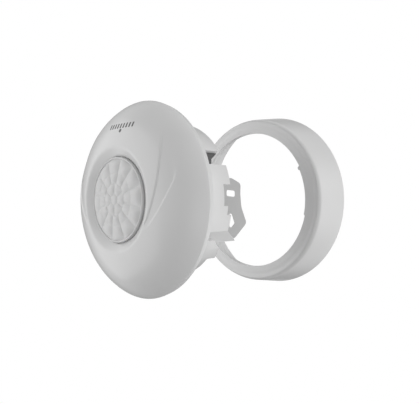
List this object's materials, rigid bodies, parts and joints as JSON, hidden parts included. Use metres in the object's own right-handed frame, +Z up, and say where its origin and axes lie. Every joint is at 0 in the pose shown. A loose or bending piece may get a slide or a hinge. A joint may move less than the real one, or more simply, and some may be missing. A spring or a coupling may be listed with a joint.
{
  "type": "motion sensor",
  "caption": "Round passive-infrared motion sensor: domed head with a disc lens and rear terminals, and the flared surface ring it plugs into.",
  "frame": {"origin": "centre of the mounting plane at the rear of the surface ring, on the sensor axis", "axes": "+Y along the sensor axis from the lens towards the mounting surface, +Z up, +X to the right as seen from the front"},
  "size_m": [0.1218, 0.1422, 0.1218],
  "materials": {
    "white_plastic": "fine satin moulded ABS, off-white",
    "lens_plastic": "milky polyethylene lens array, satin",
    "grey_plastic": "light grey moulded nylon, satin",
    "dark_rubber": "matt soft rubber",
    "white_silicone": "matt foam silicone",
    "circuit_board": "solder-masked laminate",
    "black_plastic": "moulded black",
    "blue_plastic": "moulded blue",
    "red_plastic": "moulded red",
    "button_plastic": "moulded white nylon",
    "zinc_steel": "zinc plated",
    "brass": "plain turned brass",
    "tin_plate": "tin plated",
    "silicon_filter": "coated silicon window"
  },
  "bodies": {
    "ring": {"mounting_ring": "white_plastic"},
    "gasket": {"head_gasket": "white_silicone"},
    "head": {"rear_housing": "white_plastic", "pyro_spacer": "white_plastic", "wiring_bracket_right": "grey_plastic", "wiring_bracket_left": "grey_plastic", "entry_plug_right": "dark_rubber", "entry_plug_left": "dark_rubber", "main_board": "circuit_board", "terminal_block": "black_plastic", "tamper_body": "black_plastic", "output_relay": "black_plastic", "controller_chip": "black_plastic", "amplifier_chip": "black_plastic", "capacitor_1": "black_plastic", "capacitor_2": "black_plastic", "time_dial_body": "blue_plastic", "range_dial_body": "blue_plastic", "surge_absorber": "blue_plastic", "dip_body": "red_plastic", "status_led": "red_plastic", "light_cell": "red_plastic", "board_screw_1": "zinc_steel", "board_screw_2": "zinc_steel", "board_screw_3": "zinc_steel", "bracket_screw_1": "zinc_steel", "bracket_screw_2": "zinc_steel", "bracket_screw_3": "zinc_steel", "bracket_screw_4": "zinc_steel", "pyro_can": "zinc_steel", "terminal_pin_1": "tin_plate", "terminal_pin_2": "tin_plate", "terminal_pin_3": "tin_plate", "pyro_window": "silicon_filter"},
    "cover": {"front_cover": "white_plastic", "lens_disc": "lens_plastic", "lens_retaining_ring": "white_plastic"},
    "tamper_plunger": {"tamper_plunger": "button_plastic"},
    "time_dial": {"time_dial": "button_plastic"},
    "range_dial": {"range_dial": "button_plastic"},
    "dip_slider_1": {"dip_slider_1": "button_plastic"},
    "dip_slider_2": {"dip_slider_2": "button_plastic"},
    "dip_slider_3": {"dip_slider_3": "button_plastic"},
    "dip_slider_4": {"dip_slider_4": "button_plastic"},
    "terminal_screw_1": {"terminal_screw_1": "zinc_steel"},
    "terminal_clamp_1": {"terminal_clamp_1": "brass"},
    "terminal_screw_2": {"terminal_screw_2": "zinc_steel"},
    "terminal_clamp_2": {"terminal_clamp_2": "brass"},
    "terminal_screw_3": {"terminal_screw_3": "zinc_steel"},
    "terminal_clamp_3": {"terminal_clamp_3": "brass"}
  },
  "joints": [
    {"name": "head_dock", "type": "slide", "parent": "ring", "child": "gasket", "axis": [0, 1, 0], "range_m": [0, 0.0879]},
    {"name": "head_twist", "type": "hinge", "parent": "gasket", "child": "head", "pos_m": [0, -0.1228, 0], "axis": [0, 1, 0], "range_deg": [0, 20]},
    {"name": "cover_release", "type": "slide", "parent": "head", "child": "cover", "axis": [0, -1, 0], "range_m": [0, 0.03]},
    {"name": "tamper_press", "type": "slide", "parent": "head", "child": "tamper_plunger", "axis": [0, -1, 0], "range_m": [0, 0.0015], "stiffness_N_per_m": 150},
    {"name": "time_dial_turn", "type": "hinge", "parent": "head", "child": "time_dial", "pos_m": [-0.012, -0.1228, -0.026], "axis": [0, 1, 0], "range_deg": [0, 270]},
    {"name": "range_dial_turn", "type": "hinge", "parent": "head", "child": "range_dial", "pos_m": [0.012, -0.1228, -0.026], "axis": [0, 1, 0], "range_deg": [0, 270]},
    {"name": "dip_slider_1_slide", "type": "slide", "parent": "head", "child": "dip_slider_1", "axis": [0, 0, 1], "range_m": [0, 0.002]},
    {"name": "dip_slider_2_slide", "type": "slide", "parent": "head", "child": "dip_slider_2", "axis": [0, 0, 1], "range_m": [0, 0.002]},
    {"name": "dip_slider_3_slide", "type": "slide", "parent": "head", "child": "dip_slider_3", "axis": [0, 0, 1], "range_m": [0, 0.002]},
    {"name": "dip_slider_4_slide", "type": "slide", "parent": "head", "child": "dip_slider_4", "axis": [0, 0, 1], "range_m": [0, 0.002]},
    {"name": "terminal_screw_1_turn", "type": "hinge", "parent": "head", "child": "terminal_screw_1", "pos_m": [-0.01, -0.1228, 0], "axis": [0, -1, 0], "range_deg": [0, 720]},
    {"name": "terminal_clamp_1_slide", "type": "slide", "parent": "head", "child": "terminal_clamp_1", "axis": [0, 1, 0], "range_m": [0, 0.001]},
    {"name": "terminal_screw_2_turn", "type": "hinge", "parent": "head", "child": "terminal_screw_2", "pos_m": [0, -0.1228, 0], "axis": [0, -1, 0], "range_deg": [0, 720]},
    {"name": "terminal_clamp_2_slide", "type": "slide", "parent": "head", "child": "terminal_clamp_2", "axis": [0, 1, 0], "range_m": [0, 0.001]},
    {"name": "terminal_screw_3_turn", "type": "hinge", "parent": "head", "child": "terminal_screw_3", "pos_m": [0.01, -0.1228, 0], "axis": [0, -1, 0], "range_deg": [0, 720]},
    {"name": "terminal_clamp_3_slide", "type": "slide", "parent": "head", "child": "terminal_clamp_3", "axis": [0, 1, 0], "range_m": [0, 0.001]}
  ],
  "couplings": [
    {"joint": "terminal_screw_1_turn", "follows": "terminal_clamp_1_slide", "rad_per_m": 12560},
    {"joint": "terminal_screw_2_turn", "follows": "terminal_clamp_2_slide", "rad_per_m": 12560},
    {"joint": "terminal_screw_3_turn", "follows": "terminal_clamp_3_slide", "rad_per_m": 12560}
  ]
}
